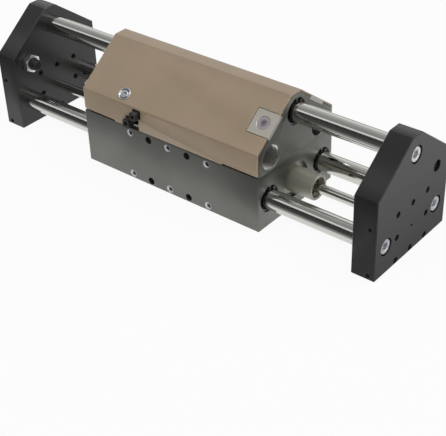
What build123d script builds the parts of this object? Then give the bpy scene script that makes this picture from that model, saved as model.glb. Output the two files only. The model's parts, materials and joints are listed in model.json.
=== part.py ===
from build123d import *
from math import cos, hypot, radians, sin
import os

os.makedirs("parts", exist_ok=True)

# A pneumatic linear module. A fixed housing in two blocks holds a cylinder and six linear
# bearings. Three guide shafts in a triangle and a double-ended piston rod run through it and
# carry a plate at each end. Millimetres. X runs along the travel, Z is up, and the origin is
# the centre of the housing's underside.

# Travel and lengths along X
stroke = 150.0
housing_extra = 75.0
boss_length = 27.0
boss_gap = 3.0
plate_thickness = 25.0

# Outline that the housing and both plates share
module_width = 120.0
module_height = 125.0
top_flat = 15.0
seam_height = 60.0
shoulder_rise = 25.0
plate_lift = 0.8

# Guide shafts and where they run
shaft_dia = 20.0
shaft_side_inset = 17.5
top_axis_drop = 20.0
shaft_seat = 10.0
shaft_thread_depth = 27.0
shaft_edge = 0.8

# Linear bearings and their retaining rings
bearing_dia = 28.0
bearing_length = 30.0
bearing_edge = 0.5
shaft_relief = 2.5
bearing_ring_depth = 1.5
bearing_ring_thick = 1.2
ring_bite = 0.7
ring_radial = 2.0
ring_gap_angle = 24.0
ring_gap_at = 55.0

# Cylinder in the lower block
cylinder_bore = 32.0
piston_length = 30.0
piston_stop_gap = 0.5
cap_dia = 38.0
cap_recess = 4.0
cap_ring_thick = 1.75
boss_dia = 26.5
boss_mouth_dia = 21.0
boss_mouth_depth = 6.0
boss_edge = 0.8
rod_dia = 10.0
rod_spigot_dia = 8.0
rod_spigot_length = 16.0
rod_bush_dia = 14.0
rod_bush_length = 18.0
rod_wiper_dia = 18.0
rod_wiper_length = 3.0

# Piston seals
piston_seal_width = 3.6
piston_seal_depth = 3.0
piston_seal_spread = 20.0

# Fits: radial, between round pieces
running_fit = 0.05
seat_fit = 0.05

# Cover over the upper block
cover_thickness = 2.0
cover_gap = 0.5
cover_end_gap = 0.5
cover_seam_gap = 0.3
cover_slot_height = 1.6
cover_slot_length = 43.0
cover_bend = 3.0
cover_cut_gap = 0.5

# Air ports on the sloping faces
port_pad_length = 25.0
port_pad_width = 25.4
port_up_slope = 32.0
port_dia = 13.2
port_depth = 13.0
port_pilot_dia = 6.0
port_pilot_depth = 12.0
port_plug_depth = 8.0
port_plug_sink = 0.3
port_plug_recess_dia = 6.6
port_plug_recess_depth = 4.0
port_edge = 0.6

# Shock absorbers, their threaded bores and the screws that lock them
absorber_dia = 25.0
absorber_side_inset = 21.0
absorber_wall = 1.5
absorber_bore_depth = 95.0
absorber_sink = 10.0
absorber_length = 80.0
absorber_well = 60.0
plunger_dia = 8.0
plunger_reach = 20.0
plunger_inside = 30.0
plunger_head_dia = 14.0
plunger_head_length = 5.0
bore_edge = 1.0
lock_screw_at = 61.0
lock_head_dia = 14.0
lock_head_proud = 1.0
lock_head_gap = 0.3
lock_shank_dia = 8.0
lock_socket = 6.0
lock_socket_depth = 2.6

# Stop screws and their lock nuts
stop_dia = 12.0
stop_reach = 14.0
stop_sink = 3.0
stop_socket = 6.0
stop_socket_depth = 6.0
stop_nut_flats = 18.0
stop_nut_thick = 7.0

# End plates
plate_edge = 0.7
grid_pitch = 25.0
grid_hole_dia = 6.8
centre_hole_dia = 3.0
centre_hole_depth = 5.0
cap_head_dia = 16.0
cap_head_height = 10.0
cap_head_sink = 1.0
counterbore_dia = 18.0
cap_shank_dia = 10.0
cap_socket = 8.0
cap_socket_depth = 5.0
plate_side_hole_dia = 5.0
plate_side_hole_depth = 12.0
plate_side_hole_in = 7.1

# Holes in the near side of the lower block
side_pitch = 25.0
side_row_low = 5.5
side_row_rise = 48.0
side_thread_dia = 6.8
side_thread_depth = 16.0
dowel_hole_dia = 8.0
dowel_hole_depth = 12.0
base_edge = 0.5

# Sensors on the near side, and the notch in the cover that they show through
rail_length = 50.0
rail_margin = 2.0
rail_thick = 4.2
rail_centre = -45.0
rail_wall_gap = 0.3
sensor_dia = 4.0
sensor_length = 24.0
clamp_width = 8.5
clamp_height = 9.0
clamp_reach = 8.8
clamp_corner = 2.2
clamp_first_along = -48.8
clamp_first_rise = 7.3
clamp_second_along = -39.0
clamp_second_drop = 7.2
clamp_hole_dia = 4.4
clamp_hole_depth = 4.0
notch_margin = 1.0

# Sizes worked out from those above
housing_length = stroke + housing_extra
housing_end = housing_length / 2
plate_inner = housing_end + stroke / 2 + boss_length + boss_gap
plate_outer = plate_inner + plate_thickness
cap_inner = (stroke + piston_length) / 2 + piston_stop_gap
shoulder_height = seam_height + shoulder_rise
slope_length = hypot(module_width / 2 - top_flat / 2, module_height - shoulder_height)
slope_run = (module_width / 2 - top_flat / 2) / slope_length
slope_rise = (module_height - shoulder_height) / slope_length
block_inset = cover_thickness + cover_gap

low_axis = seam_height / 2
top_axis = module_height - top_axis_drop
shaft_across = module_width / 2 - shaft_side_inset
absorber_across = module_width / 2 - absorber_side_inset
absorber_height = seam_height + absorber_dia / 2 + absorber_wall
absorber_drop = shoulder_height - absorber_height

shaft_r = shaft_dia / 2
rod_r = rod_dia / 2
bearing_r = bearing_dia / 2
bearing_start = bearing_ring_depth + bearing_ring_thick
bearing_seat_depth = bearing_start + bearing_length
shaft_axes = {
    "top": (0, top_axis),
    "front": (-shaft_across, low_axis),
    "rear": (shaft_across, low_axis),
}
all_axes = list(shaft_axes.values())
low_axes = [shaft_axes["front"], shaft_axes["rear"]]
rod_axis = [(0, low_axis)]
absorber_axes = [(-absorber_across, absorber_height), (absorber_across, absorber_height)]
ends = {"right": 1, "left": -1}


def round_x(start, end, radius, centres, mode=Mode.ADD):
    """A round along X on each (y, z) centre."""
    with BuildSketch(Plane.YZ.offset(start)) as discs:
        with Locations(*centres):
            Circle(radius)
    extrude(discs.sketch, amount=end - start, mode=mode)


def round_y(start, end, radius, centres, mode=Mode.ADD):
    """A round along Y on each (x, z) centre."""
    with BuildSketch(Plane.XZ.offset(-start)) as discs:
        with Locations(*centres):
            Circle(radius)
    extrude(discs.sketch, amount=start - end, mode=mode)


def hexagon(plane, flats, depth, centres, mode=Mode.SUBTRACT):
    """A hexagonal socket or nut on each centre in a plane."""
    with BuildSketch(plane) as hexes:
        with Locations(*centres):
            RegularPolygon(flats / 2, 6, major_radius=False)
    extrude(hexes.sketch, amount=depth, mode=mode)


def house_outline(inset, floor):
    """Corner points (y, z) of the house shape, moved in by inset and standing on floor."""
    side = module_width / 2 - inset
    shoulder = shoulder_height - inset * (1 - slope_rise) / slope_run
    flat = top_flat / 2 - inset * (1 - slope_run) / slope_rise
    top = module_height - inset
    return [(-side, floor), (-side, shoulder), (-flat, top), (flat, top), (side, shoulder), (side, floor)]


def house_prism(inset, floor, length, bend=0.0, mode=Mode.ADD):
    """The house shape as a prism of the given length, centred on X."""
    with BuildSketch(Plane.YZ.offset(-length / 2)) as house:
        with BuildLine():
            Polyline(*house_outline(inset, floor), close=True)
        make_face()
        if bend:
            fillet(house.vertices().sort_by(Axis.Y)[2:], bend)
    extrude(house.sketch, amount=length, mode=mode)


def slope_plane(hand, along, up):
    """Plane on the sloping face of hand -1 (near) or 1 (far), at X along, up the slope from the shoulder."""
    y = hand * (module_width / 2 - up * slope_run)
    z = shoulder_height + up * slope_rise
    return Plane(origin=(along, y, z), x_dir=(1, 0, 0), z_dir=(0, hand * slope_rise, slope_run))


def slope_round(hand, along, up, start, end, radius, mode=Mode.ADD):
    """A round square to the sloping face, from depth start to depth end below it."""
    with BuildSketch(slope_plane(hand, along, up).offset(-start)) as disc:
        Circle(radius)
    extrude(disc.sketch, amount=start - end, mode=mode)


def save(piece, label):
    """Name a finished piece and write it to its STEP file."""
    piece.part.label = label
    export_step(piece.part, f"parts/{label}.step")


# Places on the sloping faces
port_along = housing_end - port_pad_length / 2
lock_up_slope = absorber_side_inset * slope_run - absorber_drop * slope_rise
lock_axis_depth = absorber_side_inset * slope_rise + absorber_drop * slope_run
lock_places = [(-1, -lock_screw_at), (1, lock_screw_at)]

# Places in the near side
side_rows = [side_row_low, side_row_low + side_row_rise]
side_thread_places = [(x * side_pitch, z) for x in (-2, 0, 2) for z in side_rows]
dowel_places = [(x * side_pitch, z) for x in (-1, 1) for z in side_rows]
rail_face = module_width / 2 - block_inset - rail_wall_gap
rail_low = seam_height + rail_margin
rail_height = shoulder_height - rail_margin - rail_low
clamp_first = (clamp_first_along, seam_height + clamp_first_rise)
clamp_second = (clamp_second_along, shoulder_height - clamp_second_drop)
clamp_places = [clamp_first, clamp_second]


# Lower block: the cylinder, two shaft bores, the side holes and the joint face

with BuildPart() as lower_housing:
    with BuildSketch(Plane.YZ.offset(-housing_end)):
        with Locations((0, seam_height / 2)):
            Rectangle(module_width, seam_height)
    extrude(amount=housing_length)
    chamfer(lower_housing.edges().filter_by(Axis.X).group_by(Axis.Z)[0], base_edge)
    round_x(-housing_end, housing_end, shaft_r + shaft_relief, low_axes, Mode.SUBTRACT)
    round_x(-housing_end, housing_end, cylinder_bore / 2, rod_axis, Mode.SUBTRACT)
    for side in ends.values():
        face = side * housing_end
        round_x(face, face - side * bearing_seat_depth, bearing_r, low_axes, Mode.SUBTRACT)
        round_x(face - side * bearing_ring_depth, face - side * bearing_start,
                bearing_r + ring_bite, low_axes, Mode.SUBTRACT)
        round_x(face, side * cap_inner, cap_dia / 2, rod_axis, Mode.SUBTRACT)
        round_x(face - side * (cap_recess - cap_ring_thick), face - side * cap_recess,
                cap_dia / 2 + ring_bite, rod_axis, Mode.SUBTRACT)
    near = -module_width / 2
    round_y(near, near + side_thread_depth, side_thread_dia / 2, side_thread_places, Mode.SUBTRACT)
    round_y(near, near + dowel_hole_depth, dowel_hole_dia / 2, dowel_places, Mode.SUBTRACT)
save(lower_housing, "lower_housing")


# Upper block: the top shaft bore, four absorber bores, the port pads and the sensor pocket

with BuildPart() as upper_housing:
    house_prism(block_inset, seam_height, housing_length)
    for hand in (-1, 1):
        with BuildSketch(slope_plane(hand, port_along, port_up_slope)) as pad:
            Rectangle(port_pad_length, port_pad_width)
        extrude(pad.sketch, amount=-2 * block_inset)
        slope_round(hand, port_along, port_up_slope, 0, port_depth, port_dia / 2, Mode.SUBTRACT)
        slope_round(hand, port_along, port_up_slope, port_depth, port_depth + port_pilot_depth,
                    port_pilot_dia / 2, Mode.SUBTRACT)
        slope_round(hand, port_along, port_up_slope, 0, port_edge, port_dia / 2 + port_edge, Mode.SUBTRACT)
    round_x(-housing_end, housing_end, shaft_r + shaft_relief, [shaft_axes["top"]], Mode.SUBTRACT)
    for side in ends.values():
        face = side * housing_end
        round_x(face, face - side * bearing_seat_depth, bearing_r, [shaft_axes["top"]], Mode.SUBTRACT)
        round_x(face - side * bearing_ring_depth, face - side * bearing_start,
                bearing_r + ring_bite, [shaft_axes["top"]], Mode.SUBTRACT)
        round_x(face, face - side * absorber_bore_depth, absorber_dia / 2, absorber_axes, Mode.SUBTRACT)
        rims = upper_housing.edges().filter_by(GeomType.CIRCLE)
        chamfer([rim for rim in rims if rim.arc_center.X == face and rim.arc_center.Z < top_axis], bore_edge)
    for hand, along in lock_places:
        slope_round(hand, along, lock_up_slope, 0, lock_axis_depth,
                    lock_shank_dia / 2 + seat_fit, Mode.SUBTRACT)
    with BuildSketch(Plane.XZ.offset(rail_face + rail_wall_gap)):
        with Locations((rail_centre, rail_low + rail_height / 2)):
            Rectangle(rail_length + 2 * rail_wall_gap, rail_height + 2 * rail_wall_gap)
    extrude(amount=-(rail_thick + rail_wall_gap), mode=Mode.SUBTRACT)
save(upper_housing, "upper_housing")


# Cover: a bent sheet over the upper block, with windows for the pads, lock screws and sensors

cover_floor = seam_height + cover_seam_gap
cover_length = housing_length - 2 * cover_end_gap

with BuildPart() as cover:
    house_prism(0, cover_floor, cover_length, cover_bend)
    house_prism(cover_thickness, cover_floor, cover_length, cover_bend - cover_thickness, Mode.SUBTRACT)
    with BuildSketch(Plane.XZ) as end_slots:
        for side in ends.values():
            with Locations((side * (housing_end - cover_slot_length / 2), cover_floor)):
                Rectangle(cover_slot_length, 2 * cover_slot_height)
    extrude(end_slots.sketch, amount=module_width, both=True, mode=Mode.SUBTRACT)
    for hand in (-1, 1):
        with BuildSketch(slope_plane(hand, port_along, port_up_slope)) as window:
            Rectangle(port_pad_length + 2 * cover_cut_gap, port_pad_width + 2 * cover_cut_gap)
        extrude(window.sketch, amount=-2 * cover_thickness, mode=Mode.SUBTRACT)
    for hand, along in lock_places:
        slope_round(hand, along, lock_up_slope, -cover_thickness, 2 * cover_thickness,
                    lock_head_dia / 2 + lock_head_gap, Mode.SUBTRACT)
    with BuildSketch(Plane.XZ.offset(module_width / 2)) as notch:
        for x, z in clamp_places:
            low = cover_floor if (x, z) == clamp_first else z - clamp_height / 2
            high = z + clamp_height / 2 + notch_margin
            with Locations((x, (low + high) / 2)):
                Rectangle(clamp_width + 2 * notch_margin, high - low)
        step = clamp_second[0] - clamp_first[0]
        with Locations((clamp_first[0] + step / 2, (cover_floor + clamp_first[1]) / 2)):
            Rectangle(step + clamp_width / 2, clamp_first[1] - cover_floor + clamp_height)
    extrude(notch.sketch, amount=-2 * cover_thickness, mode=Mode.SUBTRACT)
save(cover, "cover")


# Linear bearings, one in each end of each shaft bore

def linear_bearing(side, axis):
    """One linear ball bearing as its outer form."""
    outer = side * (housing_end - bearing_start)
    inner = side * (housing_end - bearing_seat_depth)
    with BuildPart() as bearing:
        round_x(outer, inner, bearing_r - seat_fit, [axis])
        chamfer(bearing.edges().filter_by(GeomType.CIRCLE), bearing_edge)
        round_x(outer, inner, shaft_r + running_fit, [axis], Mode.SUBTRACT)
    return bearing


for end, side in ends.items():
    for place, axis in shaft_axes.items():
        save(linear_bearing(side, axis), f"bearing_{place}_{end}")


def ring_profile(seat_r, centre):
    """The C shape of an internal retaining ring on a (y, z) centre."""
    reach = 2 * seat_r
    mouth = [(0, 0)]
    for turn in (-ring_gap_angle / 2, ring_gap_angle / 2):
        angle = radians(ring_gap_at + turn)
        mouth.append((reach * cos(angle), reach * sin(angle)))
    with Locations(centre):
        Circle(seat_r + ring_bite - seat_fit)
        Circle(seat_r - ring_radial, mode=Mode.SUBTRACT)
        Polygon(*mouth, align=None, mode=Mode.SUBTRACT)


with BuildPart() as bearing_rings:
    for side in ends.values():
        for axis in all_axes:
            with BuildSketch(Plane.YZ.offset(side * (housing_end - bearing_ring_depth))) as ring:
                ring_profile(bearing_r, axis)
            extrude(ring.sketch, amount=-side * bearing_ring_thick)
save(bearing_rings, "bearing_rings")


# Cylinder ends: a cap with a long boss, held by a ring, with a bush and a wiper for the rod

cap_front = housing_end - cap_recess
boss_end = housing_end + boss_length
boss_floor = boss_end - boss_mouth_depth


def end_cap(side):
    """One cylinder cap with the boss that guides the rod."""
    with BuildPart() as cap:
        round_x(side * cap_inner, side * cap_front, cap_dia / 2 - seat_fit, rod_axis)
        round_x(side * cap_front, side * boss_end, boss_dia / 2, rod_axis)
        tip = cap.faces().sort_by(Axis.X)[-1 if side > 0 else 0]
        chamfer(tip.edges(), boss_edge)
        round_x(side * cap_inner, side * boss_end, rod_r + 2 * running_fit, rod_axis, Mode.SUBTRACT)
        round_x(side * cap_inner, side * (cap_inner + rod_bush_length), rod_bush_dia / 2,
                rod_axis, Mode.SUBTRACT)
        round_x(side * boss_floor, side * boss_end, boss_mouth_dia / 2, rod_axis, Mode.SUBTRACT)
        round_x(side * (boss_floor - rod_wiper_length), side * boss_floor, rod_wiper_dia / 2,
                rod_axis, Mode.SUBTRACT)
    return cap


for end, side in ends.items():
    save(end_cap(side), f"end_cap_{end}")

with BuildPart() as cap_rings:
    for side in ends.values():
        with BuildSketch(Plane.YZ.offset(side * (cap_front + cap_ring_thick))) as ring:
            ring_profile(cap_dia / 2, rod_axis[0])
        extrude(ring.sketch, amount=-side * cap_ring_thick)
save(cap_rings, "cap_rings")


def rod_sleeves(start, length, dia):
    """A sleeve round the rod in each cap."""
    with BuildPart() as sleeves:
        for side in ends.values():
            round_x(side * start, side * (start + length), dia / 2 - seat_fit, rod_axis)
            round_x(side * start, side * (start + length), rod_r + running_fit, rod_axis, Mode.SUBTRACT)
    return sleeves


save(rod_sleeves(cap_inner, rod_bush_length, rod_bush_dia), "rod_bushes")
save(rod_sleeves(boss_floor - rod_wiper_length, rod_wiper_length, rod_wiper_dia), "rod_wipers")


# Plugs in the air ports and screws that lock the absorbers

with BuildPart() as port_plugs:
    for hand in (-1, 1):
        slope_round(hand, port_along, port_up_slope, port_plug_sink, port_plug_depth, port_dia / 2 - seat_fit)
        slope_round(hand, port_along, port_up_slope, port_plug_sink,
                    port_plug_sink + port_plug_recess_depth, port_plug_recess_dia / 2, Mode.SUBTRACT)
save(port_plugs, "port_plugs")

with BuildPart() as lock_screws:
    for hand, along in lock_places:
        slope_round(hand, along, lock_up_slope, -lock_head_proud, block_inset, lock_head_dia / 2)
        slope_round(hand, along, lock_up_slope, block_inset, lock_axis_depth - absorber_dia / 2,
                    lock_shank_dia / 2)
        top = slope_plane(hand, along, lock_up_slope).offset(lock_head_proud)
        hexagon(top, lock_socket, -lock_socket_depth, [(0, 0)])
save(lock_screws, "lock_screws")


# Sensors: a rail in the pocket, two sensors in its grooves and a clamp over each

with BuildPart() as sensor_rail:
    with BuildSketch(Plane.XZ.offset(rail_face)):
        with Locations((rail_centre, rail_low + rail_height / 2)):
            Rectangle(rail_length, rail_height)
    extrude(amount=-rail_thick)
    for x, z in clamp_places:
        with BuildSketch(Plane.YZ.offset(rail_centre - rail_length / 2)) as groove:
            with Locations((-rail_face + sensor_dia / 2, z)):
                Circle(sensor_dia / 2 + seat_fit)
            with Locations((-rail_face, z)):
                Rectangle(sensor_dia, sensor_dia * 0.7)
        extrude(groove.sketch, amount=rail_length, mode=Mode.SUBTRACT)
save(sensor_rail, "sensor_rail")

with BuildPart() as sensors:
    for x, z in clamp_places:
        start = x - clamp_width / 2 - sensor_length / 2
        round_x(start, start + sensor_length, sensor_dia / 2, [(-rail_face + sensor_dia / 2, z)])
save(sensors, "sensors")

with BuildPart() as sensor_clamps:
    for place in clamp_places:
        with BuildSketch(Plane.XZ.offset(rail_face)) as block:
            with Locations(place):
                RectangleRounded(clamp_width, clamp_height, clamp_corner)
        extrude(block.sketch, amount=clamp_reach)
    front = -rail_face - clamp_reach
    round_y(front, front + clamp_hole_depth, clamp_hole_dia / 2, clamp_places, Mode.SUBTRACT)
save(sensor_clamps, "sensor_clamps")


# Shock absorbers: a threaded body in the right bore at the far side and the left bore at the near
# side, each with a sprung plunger that faces a stop screw

absorber_face = housing_end - absorber_sink


def absorber_body(side):
    """The threaded body of one absorber, with the well for its plunger."""
    centre = [(side * absorber_across, absorber_height)]
    with BuildPart() as body:
        round_x(side * (absorber_face - absorber_length), side * absorber_face,
                absorber_dia / 2 - seat_fit, centre)
        chamfer(body.edges().filter_by(GeomType.CIRCLE), bore_edge)
        round_x(side * (absorber_face - absorber_well), side * absorber_face,
                plunger_dia / 2 + running_fit, centre, Mode.SUBTRACT)
    return body


def absorber_plunger(side):
    """The rod and head that the stop screw pushes in."""
    centre = [(side * absorber_across, absorber_height)]
    with BuildPart() as plunger:
        round_x(side * (absorber_face - plunger_inside), side * (absorber_face + plunger_reach),
                plunger_dia / 2, centre)
        round_x(side * (absorber_face + plunger_reach),
                side * (absorber_face + plunger_reach + plunger_head_length), plunger_head_dia / 2, centre)
    return plunger


for end, side in ends.items():
    save(absorber_body(side), f"absorber_body_{end}")
    save(absorber_plunger(side), f"absorber_plunger_{end}")


# End plates

grid_places = [(y * grid_pitch, low_axis + z * grid_pitch)
               for y in (-1, 0, 1) for z in (-1, 0, 1) if (y, z) != (0, 0)]


def end_plate(side):
    """One plate: shaft seats inside, counterbores and the tapped grid outside, a stop screw hole."""
    inner = side * plate_inner
    outer = side * plate_outer
    counterbore = cap_head_height + cap_head_sink
    with BuildPart() as plate:
        with BuildSketch(Plane.YZ.offset(inner)) as house:
            with BuildLine():
                Polyline(*house_outline(0, plate_lift), close=True)
            make_face()
        extrude(house.sketch, amount=side * plate_thickness)
        chamfer(plate.edges(), plate_edge)
        round_x(inner, inner + side * shaft_seat, shaft_r + seat_fit, all_axes, Mode.SUBTRACT)
        round_x(inner, outer, cap_shank_dia / 2 + seat_fit, all_axes, Mode.SUBTRACT)
        round_x(outer, outer - side * counterbore, counterbore_dia / 2, all_axes, Mode.SUBTRACT)
        round_x(inner, outer, grid_hole_dia / 2, grid_places, Mode.SUBTRACT)
        round_x(outer, outer - side * centre_hole_depth, centre_hole_dia / 2, rod_axis, Mode.SUBTRACT)
        round_x(inner, inner + side * (rod_spigot_length + seat_fit), rod_spigot_dia / 2 + seat_fit,
                rod_axis, Mode.SUBTRACT)
        round_x(inner, outer, stop_dia / 2 + seat_fit, [(side * absorber_across, absorber_height)],
                Mode.SUBTRACT)
        for hand in (-1, 1):
            wall = hand * module_width / 2
            holes = [(outer - side * plate_side_hole_in, low_axis + z * grid_pitch) for z in (-1, 1)]
            round_y(wall, wall - hand * plate_side_hole_depth, plate_side_hole_dia / 2, holes, Mode.SUBTRACT)
    return plate


for end, side in ends.items():
    save(end_plate(side), f"plate_{end}")


# Guide shafts, tapped at both ends for the cap screws

shaft_end = plate_inner + shaft_seat - seat_fit


def guide_shaft(axis):
    """One hardened shaft from plate to plate."""
    with BuildPart() as shaft:
        round_x(-shaft_end, shaft_end, shaft_r, [axis])
        chamfer(shaft.edges().filter_by(GeomType.CIRCLE), shaft_edge)
        for side in ends.values():
            round_x(side * shaft_end, side * (shaft_end - shaft_thread_depth),
                    cap_shank_dia / 2 + seat_fit, [axis], Mode.SUBTRACT)
    return shaft


for place, axis in shaft_axes.items():
    save(guide_shaft(axis), f"shaft_{place}")

with BuildPart() as shaft_screws:
    for side in ends.values():
        head_out = side * (plate_outer - cap_head_sink)
        head_in = head_out - side * cap_head_height
        round_x(head_out, head_in, cap_head_dia / 2, all_axes)
        round_x(head_in, side * (shaft_end - shaft_thread_depth + 2 * seat_fit), cap_shank_dia / 2, all_axes)
        hexagon(Plane.YZ.offset(head_out), cap_socket, -side * cap_socket_depth, all_axes)
save(shaft_screws, "shaft_screws")


# Piston rod and piston

with BuildPart() as piston_rod:
    round_x(-plate_inner, plate_inner, rod_r, rod_axis)
    round_x(-plate_inner - rod_spigot_length, plate_inner + rod_spigot_length, rod_spigot_dia / 2, rod_axis)
save(piston_rod, "piston_rod")

piston_r = cylinder_bore / 2 - running_fit
piston_seal_places = [-piston_seal_spread / 2, piston_seal_spread / 2]

with BuildPart() as piston:
    round_x(-piston_length / 2, piston_length / 2, piston_r, rod_axis)
    for middle in piston_seal_places:
        start = middle - piston_seal_width / 2
        round_x(start, start + piston_seal_width, cylinder_bore, rod_axis, Mode.SUBTRACT)
        round_x(start, start + piston_seal_width, piston_r - piston_seal_depth, rod_axis)
    round_x(-piston_length / 2, piston_length / 2, rod_r + seat_fit, rod_axis, Mode.SUBTRACT)
save(piston, "piston")

with BuildPart() as piston_seals:
    for middle in piston_seal_places:
        start = middle - piston_seal_width / 2
        round_x(start, start + piston_seal_width, piston_r, rod_axis)
        round_x(start, start + piston_seal_width, piston_r - piston_seal_depth + seat_fit,
                rod_axis, Mode.SUBTRACT)
save(piston_seals, "piston_seals")


# Stop screws and their lock nuts, in the plates opposite the absorbers

with BuildPart() as stop_screws:
    for side in ends.values():
        centre = [(side * absorber_across, absorber_height)]
        outer = side * (plate_outer - stop_sink)
        round_x(outer, side * (plate_inner - stop_reach), stop_dia / 2, centre)
        hexagon(Plane.YZ.offset(outer), stop_socket, -side * stop_socket_depth, centre)
save(stop_screws, "stop_screws")

with BuildPart() as stop_nuts:
    for side in ends.values():
        centre = [(side * absorber_across, absorber_height)]
        inner = side * plate_inner
        hexagon(Plane.YZ.offset(inner), stop_nut_flats, -side * stop_nut_thick, centre, Mode.ADD)
        round_x(inner, inner - side * stop_nut_thick, stop_dia / 2 + seat_fit, centre, Mode.SUBTRACT)
save(stop_nuts, "stop_nuts")
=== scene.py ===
"""Looks of a pneumatic linear module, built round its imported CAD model."""

import json
import logging
import math
from collections.abc import Callable, Iterable
from dataclasses import dataclass, field
from enum import Enum, StrEnum

import bmesh
import bpy
from mathutils import Matrix, Vector

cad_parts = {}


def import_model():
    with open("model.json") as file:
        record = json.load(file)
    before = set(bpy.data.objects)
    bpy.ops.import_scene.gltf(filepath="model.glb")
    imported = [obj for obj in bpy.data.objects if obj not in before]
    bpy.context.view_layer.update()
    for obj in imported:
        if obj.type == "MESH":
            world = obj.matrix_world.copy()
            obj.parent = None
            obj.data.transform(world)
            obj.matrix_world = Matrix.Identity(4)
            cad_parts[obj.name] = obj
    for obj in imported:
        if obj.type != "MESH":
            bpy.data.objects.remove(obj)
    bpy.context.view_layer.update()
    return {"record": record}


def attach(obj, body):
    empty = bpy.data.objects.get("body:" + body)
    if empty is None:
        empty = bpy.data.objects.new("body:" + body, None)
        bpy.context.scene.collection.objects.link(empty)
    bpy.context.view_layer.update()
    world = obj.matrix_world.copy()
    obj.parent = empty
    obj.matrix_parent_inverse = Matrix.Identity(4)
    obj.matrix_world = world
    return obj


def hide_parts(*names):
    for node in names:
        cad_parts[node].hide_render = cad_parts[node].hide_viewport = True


log = logging.getLogger("linear_module")

MM = 0.001
IMAGE_WIDTH = 446
X_AXIS, Y_AXIS, Z_AXIS = range(3)
ROUND_STEPS = 96
SHARP_DEGREES = 35.0

Tree = bpy.types.NodeTree
Socket = bpy.types.NodeSocket
Material = bpy.types.Material
Piece = bpy.types.Object
Work = bmesh.types.BMesh
Point = tuple[float, float, float]
Place = tuple[float, float]
Colour = tuple[float, float, float, float]

# Sizes that several sub-assemblies share, in millimetres, by their places across and in height.
HALF_WIDTH = 60.0
HOUSING_END = 112.5
SHAFT_AXES = {"top": (0.0, 105.0), "front": (-42.5, 30.0), "rear": (42.5, 30.0)}
CYLINDER_AXIS = (0.0, 30.0)
ABSORBER_AT = (39.0, 74.0)


class Body(StrEnum):
    """Rigid bodies of the module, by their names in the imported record."""

    HOUSING = "housing"
    CARRIAGE = "carriage"
    PLUNGER_RIGHT = "plunger_right"
    PLUNGER_LEFT = "plunger_left"


class End(Enum):
    """An end of the module, as the sign of its direction along X."""

    RIGHT = 1
    LEFT = -1


class Slot(Enum):
    """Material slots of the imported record."""

    GREY_ANODISED = "grey_anodised"
    TAN_ENAMEL = "tan_enamel"
    BLACK_ANODISED = "black_anodised"
    HARD_CHROME = "hard_chrome"
    BEARING_STEEL = "bearing_steel"
    ZINC_STEEL = "zinc_steel"
    BLACK_STEEL = "black_steel"
    BLACK_SPRING_STEEL = "black_spring_steel"
    BLACK_RUBBER = "black_rubber"
    BEARING_BRONZE = "bearing_bronze"
    NATURAL_PLASTIC = "natural_plastic"
    PLAIN_ALUMINIUM = "plain_aluminium"
    BLACK_PLASTIC = "black_plastic"


# Shader nodes


def linear(hex_colour: str) -> Colour:
    """Turn an sRGB hex colour into linear RGBA.

    Args:
        hex_colour: Six hex digits, such as "6b6a64".

    Returns:
        The colour as linear red, green, blue and an alpha of 1.
    """
    parts = [int(hex_colour[i:i + 2], 16) / 255 for i in (0, 2, 4)]
    red, green, blue = (c / 12.92 if c <= 0.04045 else ((c + 0.055) / 1.055) ** 2.4 for c in parts)
    return red, green, blue, 1.0


def add_node(tree: Tree, kind: str, settings: dict | None = None, **links: object) -> bpy.types.Node:
    """Add one node with its settings and what feeds its inputs.

    Args:
        tree: Node tree that takes the node.
        kind: Blender's name for the node type.
        settings: Attributes to set on the node itself.
        **links: Values or output sockets by input name, with _ for a space, or by index as i0, i1.

    Returns:
        The new node.
    """
    node = tree.nodes.new(kind)
    for name, value in (settings or {}).items():
        setattr(node, name, value)
    for name, value in links.items():
        key = int(name[1:]) if name[0] == "i" and name[1:].isdigit() else name.replace("_", " ")
        socket = node.inputs[key]
        if isinstance(value, Socket):
            tree.links.new(value, socket)
        else:
            socket.default_value = value
    return node


def new_material(name: str) -> tuple[Material, Tree]:
    """Start an empty material.

    Args:
        name: The finish's name.

    Returns:
        The material and its emptied node tree.
    """
    material = bpy.data.materials.new(name)
    material.use_nodes = True
    material.node_tree.nodes.clear()
    return material, material.node_tree


def ramp(tree: Tree, factor: Socket, stops: Iterable[tuple[float, Colour]]) -> Socket:
    """Add a colour ramp.

    Args:
        tree: Node tree that takes the ramp.
        factor: Socket that drives it.
        stops: Positions with their linear colours, in rising order.

    Returns:
        The ramp's colour output.
    """
    node = add_node(tree, "ShaderNodeValToRGB", Fac=factor)
    elements = node.color_ramp.elements
    stops = list(stops)
    while len(elements) < len(stops):
        elements.new(0.5)
    for element, (position, colour) in zip(elements, stops):
        element.position = position
        element.color = colour
    return node.outputs["Color"]


def object_noise(tree: Tree, size_mm: float, detail: float, roughness: float = 0.5,
                 stretch: Iterable[float] = (1.0, 1.0, 1.0)) -> Socket:
    """Add a noise that stays fixed to the object.

    Args:
        tree: Node tree that takes the nodes.
        size_mm: Size of the noise's grains.
        detail: How many finer layers it has.
        roughness: How strong the finer layers are.
        stretch: Scale along each axis: a small one draws the grains out along it.

    Returns:
        The noise, from 0 to 1.
    """
    place = add_node(tree, "ShaderNodeTexCoord").outputs["Object"]
    lined = add_node(tree, "ShaderNodeMapping", Vector=place, Scale=tuple(stretch))
    noise = add_node(tree, "ShaderNodeTexNoise", Vector=lined.outputs[0], Scale=1 / (size_mm * MM),
                     Detail=detail, Roughness=roughness)
    return noise.outputs["Fac"]


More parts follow.
